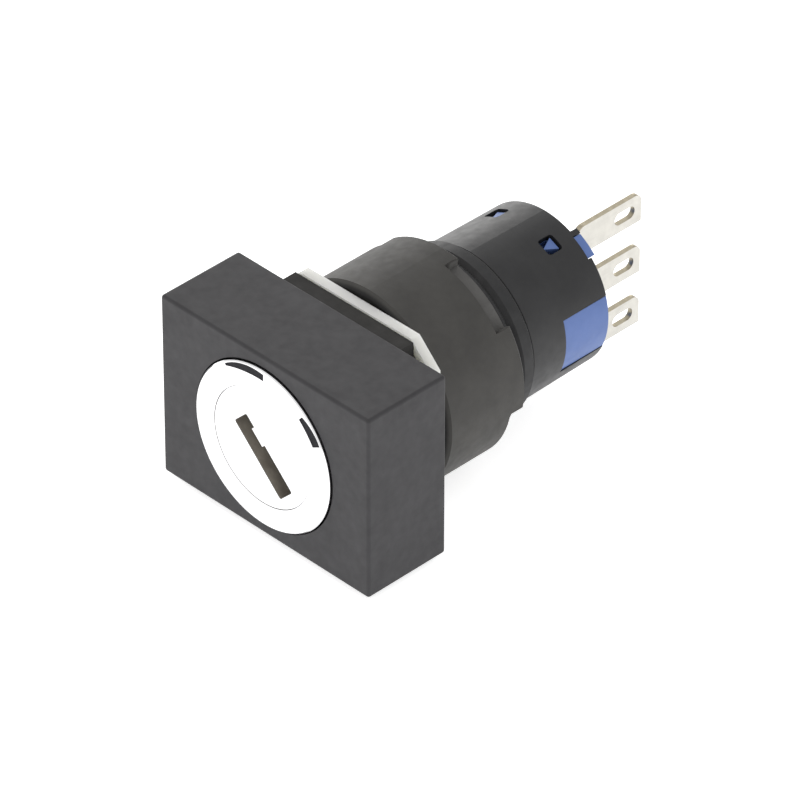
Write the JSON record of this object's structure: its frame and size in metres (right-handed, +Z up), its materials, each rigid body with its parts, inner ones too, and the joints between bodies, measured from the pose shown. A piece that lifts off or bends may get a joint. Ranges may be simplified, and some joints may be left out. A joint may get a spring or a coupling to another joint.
{
  "type": "key selector switch",
  "caption": "Panel-mounted two-position key selector switch: rectangular head with chrome key lock, threaded barrel, locking nut and changeover solder terminals.",
  "frame": {"origin": "on the barrel axis, at the rear face of the rectangular head, which seats on the panel", "axes": "+Z up, +Y along the barrel axis towards the terminals, the key face looks along -Y"},
  "size_m": [0.0242, 0.041, 0.0192],
  "materials": {
    "black_nylon": "moulded black plastic, fine satin texture",
    "nut_nylon": "moulded black plastic, slightly glossier",
    "sleeve_nylon": "moulded black plastic, semi gloss",
    "white_acetal": "off-white moulded plastic",
    "blue_pbt": "blue moulded plastic",
    "black_rubber": "black sealing rubber",
    "chrome": "polished chrome plating on zinc",
    "mark_fill": "dark paint filled into the engraving",
    "brass": "stamped brass",
    "tinned_brass": "tinned brass, satin",
    "spring_steel": "drawn spring wire",
    "steel": "zinc-plated steel",
    "silver_alloy": "silver alloy contact",
    "white_nylon": "natural nylon",
    "bronze": "phosphor bronze spring strip"
  },
  "bodies": {
    "housing": {"bezel_housing": "black_nylon", "panel_gasket": "black_rubber", "lock_shell": "chrome", "index_marks": "mark_fill", "shell_clip": "spring_steel", "detent_spring": "spring_steel", "contact_sleeve": "sleeve_nylon", "plunger_guide": "sleeve_nylon", "terminal_base": "blue_pbt", "terminal_common": "tinned_brass", "terminal_no": "tinned_brass", "terminal_nc": "tinned_brass", "fixed_contact_no": "silver_alloy", "fixed_contact_nc": "silver_alloy", "return_spring": "spring_steel", "contact_spring": "spring_steel"},
    "key_plug": {"lock_plug": "chrome", "plug_clip": "spring_steel", "cam_driver": "white_nylon", "cam_screw": "steel", "wafer_spring_1": "spring_steel", "wafer_spring_2": "spring_steel", "wafer_spring_3": "spring_steel", "wafer_spring_4": "spring_steel", "wafer_spring_5": "spring_steel"},
    "wafer_1": {"wafer_1": "brass"},
    "wafer_2": {"wafer_2": "brass"},
    "wafer_3": {"wafer_3": "brass"},
    "wafer_4": {"wafer_4": "brass"},
    "wafer_5": {"wafer_5": "brass"},
    "plunger": {"plunger": "white_nylon"},
    "contact_arm": {"contact_blade": "bronze", "moving_contact": "silver_alloy"},
    "anti_rotation_ring": {"anti_rotation_ring": "white_acetal"},
    "locking_nut": {"locking_nut": "nut_nylon"}
  },
  "joints": [
    {"name": "key_turn", "type": "hinge", "parent": "housing", "child": "key_plug", "pos_m": [0, 0, 0], "axis": [0, 1, 0], "range_deg": [0, 90], "deforming": ["detent_spring"]},
    {"name": "wafer_1_slide", "type": "slide", "parent": "key_plug", "child": "wafer_1", "axis": [-0.7071, 0, 0.7071], "range_m": [0, 0.0006], "deforming": ["wafer_spring_1"]},
    {"name": "wafer_2_slide", "type": "slide", "parent": "key_plug", "child": "wafer_2", "axis": [-0.7071, 0, 0.7071], "range_m": [0, 0.0006], "deforming": ["wafer_spring_2"]},
    {"name": "wafer_3_slide", "type": "slide", "parent": "key_plug", "child": "wafer_3", "axis": [-0.7071, 0, 0.7071], "range_m": [0, 0.0006], "deforming": ["wafer_spring_3"]},
    {"name": "wafer_4_slide", "type": "slide", "parent": "key_plug", "child": "wafer_4", "axis": [-0.7071, 0, 0.7071], "range_m": [0, 0.0006], "deforming": ["wafer_spring_4"]},
    {"name": "wafer_5_slide", "type": "slide", "parent": "key_plug", "child": "wafer_5", "axis": [-0.7071, 0, 0.7071], "range_m": [0, 0.0006], "deforming": ["wafer_spring_5"]},
    {"name": "plunger_slide", "type": "slide", "parent": "housing", "child": "plunger", "axis": [0, 1, 0], "range_m": [0, 0.00081], "deforming": ["return_spring"]},
    {"name": "contact_rock", "type": "hinge", "parent": "housing", "child": "contact_arm", "pos_m": [0, 0.0174, -0.0044], "axis": [-1, 0, 0], "range_deg": [0, 10.43], "deforming": ["contact_spring"]},
    {"name": "nut_turn", "type": "hinge", "parent": "anti_rotation_ring", "child": "locking_nut", "pos_m": [0, 0.007, 0], "axis": [0, 1, 0], "range_deg": [0, 2160]},
    {"name": "ring_slide", "type": "slide", "parent": "housing", "child": "anti_rotation_ring", "axis": [0, 1, 0], "range_m": [0, 0.006]}
  ],
  "couplings": [
    {"joint": "plunger_slide", "follows": "key_turn", "m_per_rad": 0.0005093},
    {"joint": "contact_rock", "follows": "key_turn", "ratio": 0.11575},
    {"joint": "ring_slide", "follows": "nut_turn", "m_per_rad": 0.00015915}
  ]
}
